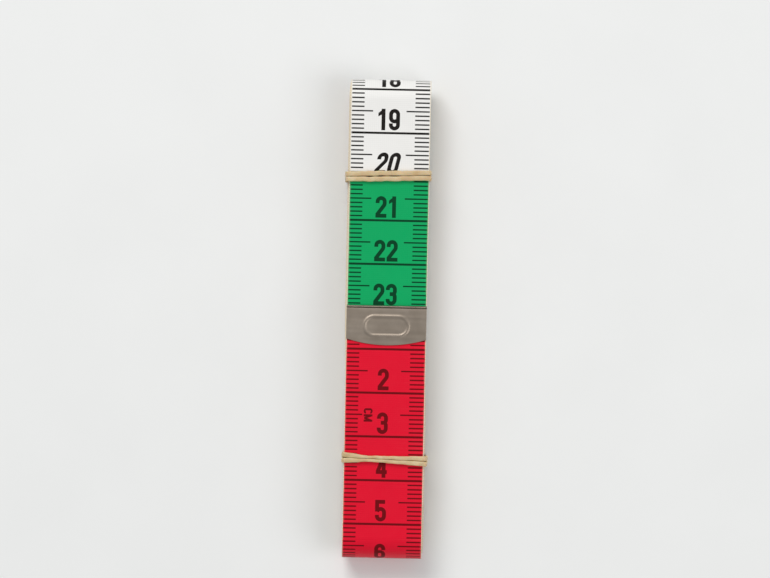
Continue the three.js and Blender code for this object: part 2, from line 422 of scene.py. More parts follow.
def stroke_quads(stroke, width):
    """The stroke as quads of that width, mitred where it turns."""
    points = np.array(stroke)
    steps = np.diff(points, axis=0)
    normals = np.stack([-steps[:, 1], steps[:, 0]], axis=1)
    normals /= np.linalg.norm(normals, axis=1)[:, None]
    is_closed = np.allclose(points[0], points[-1])
    before = np.vstack([normals[-1] if is_closed else normals[0], normals])
    after = np.vstack([normals, normals[0] if is_closed else normals[-1]])
    mitres = before + after
    mitres /= np.maximum(1 + np.sum(before * after, axis=1), LEAST_MITRE)[:, None]
    one_side = points + mitres * width / 2
    other_side = points - mitres * width / 2
    return [
        [one_side[i], one_side[i + 1], other_side[i + 1], other_side[i]] for i in range(len(points) - 1)
    ]


def text_quads(text, width_of_stroke=DIGIT_STROKE):
    """Quads of a line of text, centred on x 0 with its baseline on y 0, and its width."""
    quads = []
    x = 0.0
    for glyph in text:
        shapes = [quad for stroke in GLYPHS[glyph] for quad in stroke_quads(stroke, width_of_stroke)]
        if glyph == "1":
            shapes.append(np.array(FLAG))
        quads += [[corner + (x, 0) for corner in shape] for shape in shapes]
        x += GLYPH_WIDTHS.get(glyph, DIGIT_WIDTH) + DIGIT_GAP
    width = x - DIGIT_GAP
    return [[corner - (width / 2, 0) for corner in quad] for quad in quads], width


def number_marks(number):
    """The number's quads across the tape and along its reading, with its top towards the zero end."""
    quads, _ = text_quads(str(number))
    shear = ITALIC_SHEAR if number % LEANING_EVERY == 0 else 0.0
    squeeze = LONG_NUMBER_SQUEEZE if number >= LONG_NUMBER else 1.0
    baseline = number * CENTIMETRE - BASELINE_BEFORE_LINE
    middle_x = NUMBER_OFF_CENTRE - shear * DIGIT_HEIGHT / 2
    return [[(middle_x + squeeze * x + shear * y, baseline - y) for x, y in quad] for quad in quads]


def unit_marks():
    """The unit's quads beside its number, turned to read along the tape."""
    quads, width = text_quads(UNIT_MARK, UNIT_MARK_STROKE)
    start = UNIT_MARK_NUMBER * CENTIMETRE - UNIT_MARK_BEFORE_LINE
    tall = UNIT_MARK_HEIGHT / DIGIT_HEIGHT
    wide = UNIT_MARK_LENGTH / width
    return [
        [(UNIT_MARK_OFF_CENTRE + tall * y, start + wide * (x + width / 2)) for x, y in quad]
        for quad in quads
    ]


def bar(x_from, x_to, reading, thickness):
    """A line across the tape, centred on a reading."""
    low = reading - thickness / 2
    high = reading + thickness / 2
    return [(x_from, low), (x_to, low), (x_to, high), (x_from, high)]


def cell_marks(number, is_front):
    """All marks from one centimetre line to the next, as places across the tape and readings."""
    edge = coat_edge - PRINT_MARGIN
    has_unit = is_front and number == UNIT_MARK_NUMBER
    tick_limit = UNIT_MARK_OFF_CENTRE - UNIT_MARK_OFF_TICK if has_unit else 0
    marks = [bar(-edge, edge, number * CENTIMETRE, LINE_THICKNESS)]
    for tick in range(1, TICKS_PER_CM):
        reading = (number - 1 + tick / TICKS_PER_CM) * CENTIMETRE
        extra = HALF_TICK_EXTRA if tick == HALF_TICK else 0
        left_end = min(LEFT_TICK + extra - half_width, tick_limit)
        right_end = half_width - RIGHT_TICK - extra
        marks.append(bar(-edge, left_end, reading, TICK_THICKNESS))
        marks.append(bar(right_end, edge, reading, TICK_THICKNESS))
    if number >= FIRST_NUMBER:
        marks += number_marks(number)
    if has_unit:
        marks += unit_marks()
    return marks


def clipped(polygon, start, end):
    """The part of a polygon across and along the tape that lies between two lengths."""
    for limit, sign in ((start, 1), (end, -1)):
        kept = []
        for here, there in zip(polygon, polygon[1:] + polygon[:1]):
            inside_here = sign * (here[1] - limit)
            inside_there = sign * (there[1] - limit)
            if inside_here >= 0:
                kept.append(here)
            if inside_here * inside_there < 0:
                share = inside_here / (inside_here - inside_there)
                kept.append((here[0] + (there[0] - here[0]) * share, limit))
        polygon = kept
    return polygon


def anticlockwise(polygon):
    """The polygon, turned round if it runs clockwise."""
    pairs = zip(polygon, polygon[1:] + polygon[:1])
    doubled_area = sum(here[0] * there[1] - there[0] * here[1] for here, there in pairs)
    return polygon if doubled_area > 0 else polygon[::-1]


def printed_cell(stations, marks):
    """One cell of the coat, with the marks cut into it: points, triangles, and which of these are ink."""
    points = [(side * coat_edge, at) for at in stations for side in (-1, 1)]
    edges = [(2 * i, 2 * i + 1) for i in range(len(stations))]
    edges += [(2 * i + side, 2 * i + 2 + side) for i in range(len(stations) - 1) for side in (0, 1)]
    faces = []
    for mark in marks:
        polygon = clipped(mark, stations[0] + INK_CLEAR_OF_CELL, stations[-1] - INK_CLEAR_OF_CELL)
        if len(polygon) > 2:
            faces.append(list(range(len(points), len(points) + len(polygon))))
            points += anticlockwise(polygon)
    in_mm = [Vector((x / MM, at / MM)) for x, at in points]
    found, _, triangles, _, _, inks = delaunay_2d_cdt(in_mm, edges, faces, 0, CUT_PRECISION_IN_MM)
    return [(x * MM, at * MM) for x, at in found], triangles, [len(ink) > 0 for ink in inks]


# Meshes
def make_object(name, places, faces, materials, finishes=None, flat=None):
    """A smooth object with one material index a face, and the flat places of its vertices as a map in cm."""
    mesh = bpy.data.meshes.new(name)
    mesh.from_pydata([tuple(place) for place in places], [], faces)
    for material in materials:
        mesh.materials.append(material)
    if finishes is not None:
        mesh.polygons.foreach_set("material_index", finishes)
    mesh.polygons.foreach_set("use_smooth", [True] * len(mesh.polygons))
    if flat is not None:
        corners = np.zeros(len(mesh.loops), dtype=np.int32)
        mesh.loops.foreach_get("vertex_index", corners)
        layer = mesh.uv_layers.new(name=FLAT_MAP)
        layer.uv.foreach_set("vector", (np.array(flat)[corners] / CENTIMETRE).astype(np.float32).ravel())
    mesh.update()
    mesh.validate()
    mesh.set_sharp_from_angle(angle=SMOOTH_UP_TO)
    made = bpy.data.objects.new(name, mesh)
    bpy.context.scene.collection.objects.link(made)
    return made


def front_reading(at):
    """The front print's reading at a length from the zero end, or the length at a reading."""
    return at


def back_reading(at):
    """The same for the back, whose print runs the other way."""
    return TAPE_LENGTH - at


def colour_index(reading):
    """Which of the colours the coat has at a reading."""
    return int(reading // COLOUR_BLOCK) % len(COLOURS)


class TapeStretch:
    """A stretch of the tape as one closed surface: two printed faces, two cut edges and two ends. A coat's
    finish is twice its colour's index, its ink's is the next one, and the cut edges' is the last."""

    FRONT = 0
    BACK = 4
    EDGE = 2 * len(COLOURS)

    def __init__(self, route, begin, end, front_print_end, is_back_printed):
        self.route = route
        inside = (route.stations >= begin - SAME_LENGTH) & (route.stations <= end + SAME_LENGTH)
        self.stations = list(route.stations[inside])
        self.points = []
        self.faces = []
        self.finishes = []
        shoulder = half_cloth - EDGE_ROUND
        self.ring = [
            (-coat_edge, half_cloth), (coat_edge, half_cloth),
            (half_width, shoulder), (half_width, -shoulder),
            (coat_edge, -half_cloth), (-coat_edge, -half_cloth),
            (-half_width, -shoulder), (-half_width, shoulder),
        ]
        for at in self.stations:
            self.points += [(at, across, height) for across, height in self.ring]
        self.add_edges()
        self.add_face(self.FRONT, front_print_end, front_reading)
        self.add_face(self.BACK, end if is_back_printed else begin, back_reading)
        self.add_ends()

    def add(self, face, finish):
        self.faces.append(face)
        self.finishes.append(finish)

    def quad(self, index, side, finish):
        """One side of the ring, from a station to the next."""
        here = index * len(self.ring)
        there = here + len(self.ring)
        next_side = (side + 1) % len(self.ring)
        self.add([here + side, there + side, there + next_side, here + next_side], finish)

    def add_edges(self):
        edge_sides = [side for side in range(len(self.ring)) if side not in (self.FRONT, self.BACK)]
        for index in range(len(self.stations) - 1):
            for side in edge_sides:
                self.quad(index, side, self.EDGE)

    def add_ends(self):
        corners = range(len(self.ring))
        last_ring = (len(self.stations) - 1) * len(self.ring)
        self.add(list(corners), self.EDGE)
        self.add([last_ring + corner for corner in reversed(corners)], self.EDGE)

    def add_face(self, side, print_end, reading_at):
        """One face of the tape: cells with print up to a length, and plain coat beyond it."""
        first = 0
        for index in range(1, len(self.stations)):
            at = self.stations[index]
            if self.stations[first] >= print_end - SAME_LENGTH:
                reading = reading_at((self.stations[index - 1] + at) / 2)
                self.quad(index - 1, side, 2 * colour_index(reading))
                continue
            after_line = (reading_at(at) - CELL_AFTER_LINE) / CENTIMETRE
            ends_cell = abs(after_line - round(after_line)) < SAME_SHARE
            ends_print = index == len(self.stations) - 1 or at >= print_end - SAME_LENGTH
            if ends_cell or ends_print:
                self.add_cell(first, index, side, reading_at)
                first = index

    def add_cell(self, first, last, side, reading_at):
        """The printed coat between two stations. Its outer points are those of the rings."""
        stations = self.stations[first:last + 1]
        is_front = side == self.FRONT
        reading = reading_at((stations[0] + stations[-1]) / 2)
        number = math.ceil((reading - CELL_AFTER_LINE) / CENTIMETRE)
        marks = [
            [(across, reading_at(mark_reading)) for across, mark_reading in mark]
            for mark in cell_marks(number, is_front)
        ]
        found, triangles, inks = printed_cell(stations, marks)
        height = self.ring[side][1]
        left_side, right_side = (side, side + 1) if is_front else (side + 1, side)
        indices = []
        for across, at in found:
            if abs(across) > coat_edge - SAME_PLACE_ACROSS:
                nearest = first + int(np.argmin([abs(at - station) for station in stations]))
                indices.append(nearest * len(self.ring) + (left_side if across < 0 else right_side))
            else:
                indices.append(len(self.points))
                self.points.append((at, across, height))
        for triangle, is_ink in zip(triangles, inks):
            at = sum(found[corner][1] for corner in triangle) / 3
            face = [indices[corner] for corner in triangle]
            self.add(face[::-1] if is_front else face, 2 * colour_index(reading_at(at)) + int(is_ink))

    def make(self, name, materials):
        at, across, height = np.array(self.points).T
        places = self.route.places(at, across, height)
        flat = np.stack([at, across], axis=1)
        return make_object(name, places, self.faces, materials, self.finishes, flat)


# Rubber bands
STRAND_WIDTH = 1.16 * MM
STRAND_TOUCH = 0.01 * MM
STRAND_GIRTH = 4 * STRAND_WIDTH
STRAND_SIDES = 24
STRAND_SQUARENESS = 3.4
SIDE_THICKNESS = 0.38 * MM
BAND_OFF_TAPE = 0.04 * MM
BAND_OFF_SIDE = 0.06 * MM
BAND_CORNER = 0.35 * MM
BAND_CORNER_STEPS = 10
BAND_STEP = 0.3 * MM
QUARTER_TURN = 90
UPPER_BAND_TILT = math.radians(1.7)
LOWER_BAND_TILT = math.radians(-1.65)

# Where the strands cross: shares of the side by which one has climbed over the other and comes down again
CLIMBED = 0.25
COMING_DOWN = 0.75
CROSSING_GAP = 0.02 * MM
CROSSING_PRESS = 0.22

# The strands lie side by side where their outward direction points this far backwards
BACKWARDS = -0.5

# How a strand sways, twists and narrows along its way
UNEVEN_LENGTHS = (7.3 * MM, 4.1 * MM, 2.3 * MM)
SWAY = 0.05 * MM
TWIST = math.radians(6)
TWIST_PHASE = 2.0
NARROWING = 0.06
NARROWING_PHASE = 1.0

# Half the distance between the strands' middles at places across the front, both in mm
UPPER_SPREAD = [
    (-9.5, 0.60), (-6.2, 0.59), (-4.6, 0.70), (-3.2, 0.60), (-1.9, 0.69),
    (-0.4, 0.60), (1.4, 0.70), (2.9, 0.59), (9.5, 0.61),
]
LOWER_SPREAD = [
    (-9.5, 0.66), (-7.0, 0.55), (-5.0, 0.41), (-3.6, 0.36), (-2.4, 0.37),
    (0.3, 0.41), (3.1, 0.45), (5.9, 0.53), (8.7, 0.58), (9.7, 0.68),
]


def uneven(travelled, phase):
    """A slow wander between -1 and 1 along a strand."""
    waves = [np.sin(2 * np.pi * travelled / wave + phase + wave / MM) for wave in UNEVEN_LENGTHS]
    return sum(waves) / len(waves)


def unit_rows(vectors):
    return vectors / np.linalg.norm(vectors, axis=1)[:, None]


def direction(degrees):
    return math.cos(math.radians(degrees)), math.sin(math.radians(degrees))


def band_round(low_x, high_x, low_z, high_z):
    """Rows of x, z and outward direction on the band's inner side, from the middle of the front leftwards
    and round the back, and the rows between which the left side runs."""
    rows = []

    def straight(start, finish, out):
        steps = max(1, round(math.dist(start, finish) / BAND_STEP))
        for share in np.arange(steps) / steps:
            rows.append((*(np.array(start) * (1 - share) + np.array(finish) * share), *out))

    def on_corner(x, z, degrees):
        out = direction(degrees)
        return x + BAND_CORNER * out[0], z + BAND_CORNER * out[1]

    corners = [
        (low_x + BAND_CORNER, high_z - BAND_CORNER), (low_x + BAND_CORNER, low_z + BAND_CORNER),
        (high_x - BAND_CORNER, low_z + BAND_CORNER), (high_x - BAND_CORNER, high_z - BAND_CORNER),
    ]
    place = (0.0, high_z)
    facing = QUARTER_TURN
    corner_rows = []
    for x, z in corners:
        straight(place, on_corner(x, z, facing), direction(facing))
        corner_rows.append(len(rows))
        for degrees in facing + QUARTER_TURN * np.arange(BAND_CORNER_STEPS) / BAND_CORNER_STEPS:
            rows.append((*on_corner(x, z, degrees), *direction(degrees)))
        facing += QUARTER_TURN
        place = on_corner(x, z, facing)
    straight(place, (0.0, high_z), direction(QUARTER_TURN))
    return np.array(rows), (corner_rows[0] + BAND_CORNER_STEPS, corner_rows[1])


def strand_rings(rows, crossing, across_front, thickness, spread):
    """Middles, outward directions, widths and thicknesses along both rounds of a doubled band. The first
    round climbs over the second on the left side, where the two change places and press each other flat."""
    x, z, out_x, out_z = rows.T
    share = (np.arange(len(rows)) - crossing[0]) / (crossing[1] - crossing[0])
    changed = smoothstep(share, CLIMBED, COMING_DOWN)
    climb = smoothstep(share, 0, CLIMBED) - smoothstep(share, COMING_DOWN, 1)
    places = np.array([place for place, _ in spread]) * MM
    halves = np.array([half for _, half in spread]) * MM
    apart = np.interp(across_front, places, halves)
    apart = np.where(out_z > BACKWARDS, apart, STRAND_WIDTH / 2 + STRAND_TOUCH)
    width = np.minimum(STRAND_WIDTH, 2 * apart - STRAND_TOUCH)
    pressed = thickness * (1 - CROSSING_PRESS * climb)
    rounds = []
    for is_over in (True, False):
        lane = 1 - 2 * changed if is_over else 2 * changed - 1
        lift = climb * (pressed + CROSSING_GAP) if is_over else 0 * climb
        off_inner = pressed / 2 + lift
        columns = (x + out_x * off_inner, lane * apart, z + out_z * off_inner, out_x, out_z, width, pressed)
        rounds.append(np.stack(columns, axis=1))
    return np.vstack(rounds)


def strand_surface(rings, sway_phase):
    """Places of the section's corners, ring by ring, and the same corners' places on the strand laid flat:
    along it, and round it."""
    x, y, z, out_x, out_z, width, thickness = rings.T
    steps = np.linalg.norm(np.diff(rings[:, :3], axis=0), axis=1)
    travelled = np.concatenate([[0], np.cumsum(steps)])
    middles = np.stack([x, y + SWAY * uneven(travelled, sway_phase), z], axis=1)
    alongs = unit_rows(np.roll(middles, -1, axis=0) - np.roll(middles, 1, axis=0))
    outs = np.stack([out_x, 0 * travelled, out_z], axis=1)
    flat_sideways = unit_rows(np.cross(outs, alongs))
    flat_ups = np.cross(alongs, flat_sideways)
    twist = TWIST * uneven(travelled, TWIST_PHASE)[:, None]
    sideways = flat_sideways * np.cos(twist) + flat_ups * np.sin(twist)
    ups = flat_ups * np.cos(twist) - flat_sideways * np.sin(twist)
    narrowed = width * (1 - NARROWING * (1 + uneven(travelled, NARROWING_PHASE)) / 2)
    angles = 2 * np.pi * np.arange(STRAND_SIDES) / STRAND_SIDES
    section_x, section_y = [
        np.sign(wave) * np.abs(wave) ** (2 / STRAND_SQUARENESS) / 2
        for wave in (np.cos(angles), np.sin(angles))
    ]
    places = (
        middles[:, None, :]
        + sideways[:, None, :] * (narrowed[:, None] * section_x)[:, :, None]
        + ups[:, None, :] * (thickness[:, None] * section_y)[:, :, None]
    ).reshape(-1, 3)
    around = angles / (2 * np.pi) * STRAND_GIRTH
    flat = np.stack([np.repeat(travelled, STRAND_SIDES), np.tile(around, len(rings))], axis=1)
    return places, flat


def loop_faces(ring_count, order):
    """Quads between each ring and the next, and from the last one back to the first."""
    faces = []
    for ring in range(ring_count):
        here = ring * STRAND_SIDES
        there = (ring + 1) % ring_count * STRAND_SIDES
        for corner in range(STRAND_SIDES):
            beside = (corner + 1) % STRAND_SIDES
            face = [here + corner, here + beside, there + beside, there + corner]
            faces.append(face[::order])
    return faces


def band_mesh(name, node, front_face, strays, spread, tilt, crosses_on_left, material):
    """A doubled band as one closed loop round the hank, in the place of its node. It is made with its
    crossing on the left, and mirrored if that lies on the right. The tilt also sets the sway's phase."""
    node_low, node_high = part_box(node)
    mirror = 1 if crosses_on_left else -1
    reaches = [half_width + BAND_OFF_SIDE - strays[0] * MM, half_width + BAND_OFF_SIDE + strays[1] * MM]
    crossing_reach, other_reach = reaches[::mirror]
    inner_back = winding_low.z - cloth_past_solid - BAND_OFF_TAPE
    inner_front = front_face + cloth_past_solid + BAND_OFF_TAPE
    rows, crossing = band_round(-crossing_reach, other_reach, inner_back, inner_front)
    out_x, out_z = rows[:, 2:].T
    facing = np.where(out_z > 0, node_high.z - inner_front, inner_back - node_low.z)
    thickness = SIDE_THICKNESS * out_x ** 2 + facing * out_z ** 2
    rings = strand_rings(rows, crossing, mirror * rows[:, 0], thickness, spread)
    places, flat = strand_surface(rings, tilt)
    x = mirror * places[:, 0]
    y = places[:, 1]
    centre_y = (node_low.y + node_high.y) / 2
    tilted = np.stack([
        x * math.cos(tilt) - y * math.sin(tilt),
        x * math.sin(tilt) + y * math.cos(tilt) + centre_y,
        places[:, 2],
    ], axis=1)
    return make_object(name, tilted, loop_faces(len(rings), mirror), [material], None, flat)


# Metal tip
TIP_SHEET = 0.25 * MM
TIP_SIDE = 7.7 * MM
TIP_COLUMNS = 122
TIP_FRONT_ROWS = 60
TIP_BEND_ROWS = 10
TIP_BACK_ROWS = 6
CREASE_FROM_EDGE = 0.5 * MM
CREASE_WIDTH = 0.25 * MM
CREASE_DEPTH = 0.07 * MM
PANEL_CENTRE = 4.7 * MM
PANEL_HALF_LENGTH = 5.0 * MM
PANEL_HALF_HEIGHT = 2.2 * MM
PANEL_RIM = 0.32 * MM
PANEL_RISE = 0.11 * MM
TIP_BEVEL = 0.05 * MM
TIP_BEVEL_STEPS = 2
TIP_BEVEL_FROM = math.radians(50)


def tip_edge(across):
    """How far the tip's bowed edge lies below its bend."""
    bow = tip_depth - TIP_SIDE
    radius = (half_width ** 2 + bow ** 2) / (2 * bow)
    return TIP_SIDE + bow - radius + np.sqrt(radius ** 2 - across ** 2)


def tip_relief(across, below):
    """Height of the pressed relief: a crease under the bend and a plain raised rim round an empty panel."""
    crease = -CREASE_DEPTH * np.exp(-((below - CREASE_FROM_EDGE) / CREASE_WIDTH) ** 2)
    straight = PANEL_HALF_LENGTH - PANEL_HALF_HEIGHT
    past = np.maximum(np.abs(across) - straight, 0)
    from_line = np.hypot(past, below - PANEL_CENTRE)
    rim = PANEL_RISE * np.exp(-((from_line - PANEL_HALF_HEIGHT) / PANEL_RIM) ** 2)
    return crease + rim


def tip_rows(across):
    """Rows of the sheet's middle surface, from the front leaf's edge round the bend to the back leaf's edge:
    how far below the bend each point lies, and how far in front of the tape's middle."""
    outer = (tip_high.z - tip_low.z) / 2
    radius = outer - TIP_SHEET / 2
    edge = tip_edge(across)
    rows = []
    for row in range(TIP_FRONT_ROWS):
        below = edge + (outer - edge) * row / TIP_FRONT_ROWS
        rows.append((below, radius + tip_relief(across, below)))
    for row in range(TIP_BEND_ROWS + 1):
        angle = math.pi * row / TIP_BEND_ROWS
        below = outer - radius * math.sin(angle)
        rows.append((np.full_like(across, below), np.full_like(across, radius * math.cos(angle))))
    for row in range(1, TIP_BACK_ROWS + 1):
        below = outer + (edge - outer) * row / TIP_BACK_ROWS
        rows.append((below, np.full_like(across, -radius)))
    return rows


def tip_mesh(name, material):
    """The sheet folded round the tape's end. Modifiers give it its thickness and its soft edges."""
    across = np.linspace(-half_width, half_width, TIP_COLUMNS)
    rows = tip_rows(across)
    bend_centre_z = (tip_high.z + tip_low.z) / 2
    places = np.vstack([
        np.stack([across, tip_high.y - below, bend_centre_z + height], axis=1) for below, height in rows
    ])
    faces = []
    for row in range(len(rows) - 1):
        for column in range(TIP_COLUMNS - 1):
            here = row * TIP_COLUMNS + column
            there = here + TIP_COLUMNS
            faces.append([here, here + 1, there + 1, there])
    tip = make_object(name, places, faces, [material])
    solid = tip.modifiers.new("thickness", "SOLIDIFY")
    solid.thickness = TIP_SHEET
    solid.offset = 0
    bevel = tip.modifiers.new("edges", "BEVEL")
    bevel.width = TIP_BEVEL
    bevel.segments = TIP_BEVEL_STEPS
    bevel.limit_method = "ANGLE"
    bevel.angle_limit = TIP_BEVEL_FROM
    return tip


# Materials
def linear(red, green, blue):
    """A colour given as it looks on screen, 0 to 255, as linear values."""
    def channel(value):
        value /= 255
        return value / 12.92 if value <= 0.04045 else ((value + 0.055) / 1.055) ** 2.4
    return channel(red), channel(green), channel(blue), 1.0


def shade(colour, factor):
    """The colour, made lighter or darker."""
    return tuple(min(1.0, channel * factor) for channel in colour[:3]) + (1.0,)


COATS = {"red": linear(227, 8, 44), "white": linear(239, 237, 233), "green": linear(0, 167, 95)}
INKS = {"red": linear(112, 14, 20), "white": linear(34, 31, 29), "green": linear(8, 66, 38)}
WORN_CLOTH = linear(232, 220, 196)
DARK_THREAD = linear(216, 200, 170)
PALE_THREAD = linear(242, 234, 214)
DARK_PLATE = linear(156, 143, 129)
PALE_PLATE = linear(172, 159, 145)
DARK_INNER_PLATE = linear(152, 140, 126)
PALE_INNER_PLATE = linear(176, 163, 148)
# Painted shade: the dark line along the crease under the tip's bend
CREASE_PAINTED_SHADE = linear(58, 48, 42)
AMBER_RUBBER = linear(198, 170, 125)
CREAM_RUBBER = linear(216, 195, 154)
RUBBER_DUST = linear(236, 224, 196)
DARK_FLOOR = linear(237, 237, 235)
PALE_FLOOR = linear(242, 242, 240)

# Scales of texture on the tape and bands are per cm, and on the tips and the floor per metre
WEAVE_PER_CM = 22
EDGE_THREADS_PER_CM = 18
WEAR_REACH = 0.5 * MM
WEAR_MOST = 0.2
BRUSHED = (60, 1400, 1400)
# Painted shade along the tip's crease: full within the first distance, gone beyond the second, and this dark
# at most
PAINTED_SHADE_FULL_WITHIN = 0.14 * MM
PAINTED_SHADE_GONE_BEYOND = 0.34 * MM
PAINTED_SHADE_MOST = 0.85

# A wave node has this many radians to a unit, and most noise lies between these values
WAVE_NODE_RADIANS = 20
NOISE_LOW = 0.3
NOISE_HIGH = 0.7


class Finish:
    """A material with a Principled shader, and short ways to add what varies over the surface."""

    def __init__(self, name):
        self.material = bpy.data.materials.new(name)
        self.material.use_nodes = True
        self.nodes = self.material.node_tree.nodes
        self.links = self.material.node_tree.links
        self.shader = self.nodes["Principled BSDF"]

    def set(self, **values):
        """Constant values of the shader, with the spaces of their names as underscores."""
        for name, value in values.items():
            self.shader.inputs[name.replace("_", " ")].default_value = value

    def feed(self, socket, value):
        """Links another node's output to the socket, or sets a constant there."""
        if isinstance(value, bpy.types.NodeSocket):
            self.links.new(value, socket)
        else:
            socket.default_value = value

    def node(self, kind, inputs=None, **settings):
        made = self.nodes.new(kind)
        for name, value in settings.items():
            setattr(made, name, value)
        for name, value in (inputs or {}).items():
            self.feed(made.inputs[name], value)
        return made

    def flat_map(self):
        """Places on the tape or strand laid flat, in cm: along it, and across or round it."""
        return self.node("ShaderNodeUVMap", uv_map=FLAT_MAP).outputs["UV"]

    def object_map(self, stretch=(1, 1, 1)):
        """Places in the object's own space, in metres."""
        place = self.node("ShaderNodeTexCoord").outputs["Object"]
        return self.node("ShaderNodeMapping", {"Vector": place, "Scale": stretch}).outputs["Vector"]

    def coordinate(self, where, axis):
        return self.node("ShaderNodeSeparateXYZ", {"Vector": where}).outputs[axis]

    def noise(self, where, scale, detail=3.0):
        inputs = {"Vector": where, "Scale": scale, "Detail": detail}
        return self.node("ShaderNodeTexNoise", inputs).outputs["Fac"]

    def bands(self, where, per_unit, axis, distortion):
        """Bands across an axis."""
        scale = 2 * math.pi / WAVE_NODE_RADIANS * per_unit
        inputs = {"Vector": where, "Scale": scale, "Distortion": distortion}
        return self.node("ShaderNodeTexWave", inputs, wave_type="BANDS", bands_direction=axis).outputs["Fac"]

    def math(self, operation, first, second=0.0):
        made = self.node("ShaderNodeMath", operation=operation)
        self.feed(made.inputs[0], first)
        self.feed(made.inputs[1], second)
        return made.outputs[0]

    def ranged(self, value, start, end, low, high):
        """A value that goes from low to high as another goes from start to end."""
        inputs = {"Value": value, "From Min": start, "From Max": end, "To Min": low, "To Max": high}
        return self.node("ShaderNodeMapRange", inputs).outputs["Result"]

    def between(self, noise, low, high):
        """A value that goes from low to high as noise does."""
        return self.ranged(noise, NOISE_LOW, NOISE_HIGH, low, high)

    def mixed(self, factor, first, second):
        made = self.node("ShaderNodeMix", {"Factor": factor}, data_type="RGBA")
        for name, value in (("A", first), ("B", second)):
            self.feed(next(s for s in made.inputs if s.name == name and s.type == "RGBA"), value)
        return next(s for s in made.outputs if s.type == "RGBA")

    def colour(self, socket):
        self.links.new(socket, self.shader.inputs["Base Color"])

    def roughness(self, socket):
        self.links.new(socket, self.shader.inputs["Roughness"])

    def bump(self, height, strength, distance):
        made = self.node("ShaderNodeBump", {"Height": height, "Strength": strength, "Distance": distance})
        self.links.new(made.outputs["Normal"], self.shader.inputs["Normal"])


def edge_wear(finish, where):
    """How much the coat has rubbed off: in patches close to the cut edges."""
    off_centre = finish.math("ABSOLUTE", finish.coordinate(where, "Y"))
    worn_from = (half_width - WEAR_REACH) / CENTIMETRE
    near_edge = finish.ranged(off_centre, worn_from, coat_edge / CENTIMETRE, low=0.0, high=WEAR_MOST)
    patches = finish.between(finish.noise(where, scale=6.0), low=0.0, high=1.0)
    return finish.math("MULTIPLY", near_edge, patches)


def cloth_finish(name, colour, variation, roughness, gleam):
    """Coated cloth: its weave shows faintly through the coat, whose colour and gloss vary a little."""
    finish = Finish(name)
    where = finish.flat_map()
    warp = finish.bands(where, WEAVE_PER_CM, "X", distortion=0.6)
    weft = finish.bands(where, WEAVE_PER_CM, "Y", distortion=0.6)
    weave = finish.math("MULTIPLY", warp, weft)
    grain = finish.noise(where, scale=30.0, detail=2.0)
    patches = finish.between(finish.noise(where, scale=1.6), low=0.0, high=0.5)
    tone = finish.math("ADD", patches, weave)
    coat = finish.mixed(tone, shade(colour, 1 - variation), shade(colour, 1 + variation))
    gloss = finish.noise(where, scale=4.0)
    finish.colour(finish.mixed(edge_wear(finish, where), coat, WORN_CLOTH))
    finish.roughness(finish.between(gloss, low=roughness - 0.05, high=roughness + 0.06))
    finish.bump(finish.math("ADD", weave, grain), strength=0.5, distance=0.03 * MM)
    finish.set(Specular_IOR_Level=gleam)
    return finish.material


def edge_finish():
    """The cut edge, where the cloth's threads show."""
    finish = Finish("cut_edge")
    where = finish.flat_map()
    threads = finish.bands(where, EDGE_THREADS_PER_CM, "X", distortion=1.5)
    fluff = finish.between(finish.noise(where, scale=22.0), low=0.3, high=1.0)
    uneven_threads = finish.math("MULTIPLY", threads, fluff)
    finish.colour(finish.mixed(uneven_threads, DARK_THREAD, PALE_THREAD))
    finish.bump(uneven_threads, strength=0.4, distance=0.04 * MM)
    finish.set(Roughness=0.8)
    return finish.material


def metal_finish():
    """Satin plate, brushed across the tip, with painted shade along the crease and faint marks."""
    finish = Finish("tip_metal")
    brushed = finish.noise(finish.object_map(BRUSHED), scale=1.0, detail=4.0)
    cloudy = finish.noise(finish.object_map(), scale=260.0)
    plate = finish.mixed(finish.between(cloudy, low=0.0, high=1.0), DARK_PLATE, PALE_PLATE)
    height = finish.coordinate(finish.object_map(), "Y")
    # Painted shade: the plate darkens in a narrow band along the crease under the bend
    off_crease = finish.math("SUBTRACT", height, tip_high.y - CREASE_FROM_EDGE)
    distance = finish.math("ABSOLUTE", off_crease)
    painted_shade = finish.ranged(distance, PAINTED_SHADE_FULL_WITHIN, PAINTED_SHADE_GONE_BEYOND, low=PAINTED_SHADE_MOST, high=0.0)
    finish.colour(finish.mixed(painted_shade, plate, CREASE_PAINTED_SHADE))
    finish.roughness(finish.between(brushed, low=0.34, high=0.42))
    finish.bump(brushed, strength=0.07, distance=0.01 * MM)
    finish.set(Metallic=1.0)
    return finish.material


def plain_metal_finish():
    """The same plate on the tip inside the winding."""
    finish = Finish("inner_tip_metal")
    brushed = finish.noise(finish.object_map(BRUSHED), scale=1.0, detail=4.0)
    streaks = finish.between(brushed, low=0.0, high=1.0)
    finish.colour(finish.mixed(streaks, DARK_INNER_PLATE, PALE_INNER_PLATE))
    finish.roughness(finish.between(brushed, low=0.3, high=0.44))
    finish.set(Metallic=1.0)
    return finish.material


def rubber_finish():
    """Natural rubber: slightly see-through, in soft amber and cream patches, with a fine dust on it."""
    finish = Finish("band_rubber")
    where = finish.flat_map()
    patches = finish.noise(where, scale=4.0, detail=1.0)
    dust = finish.noise(where, scale=70.0, detail=2.0)
    body = finish.mixed(finish.between(patches, low=0.0, high=1.0), AMBER_RUBBER, CREAM_RUBBER)
    finish.colour(finish.mixed(finish.between(dust, low=-0.3, high=0.3), body, RUBBER_DUST))
    finish.roughness(finish.between(dust, low=0.36, high=0.5))
    finish.bump(dust, strength=0.12, distance=0.02 * MM)
    finish.set(Subsurface_Weight=0.5, Subsurface_Radius=(1.0, 0.6, 0.3), Subsurface_Scale=0.8 * MM)
    return finish.material


def floor_finish():
    """A plain pale floor, with a very faint mottle."""
    finish = Finish("pale_floor")
    mottle = finish.noise(finish.object_map(), scale=40.0)
    finish.colour(finish.mixed(mottle, DARK_FLOOR, PALE_FLOOR))
    finish.set(Roughness=0.9, Specular_IOR_Level=0.2)
    return finish.material


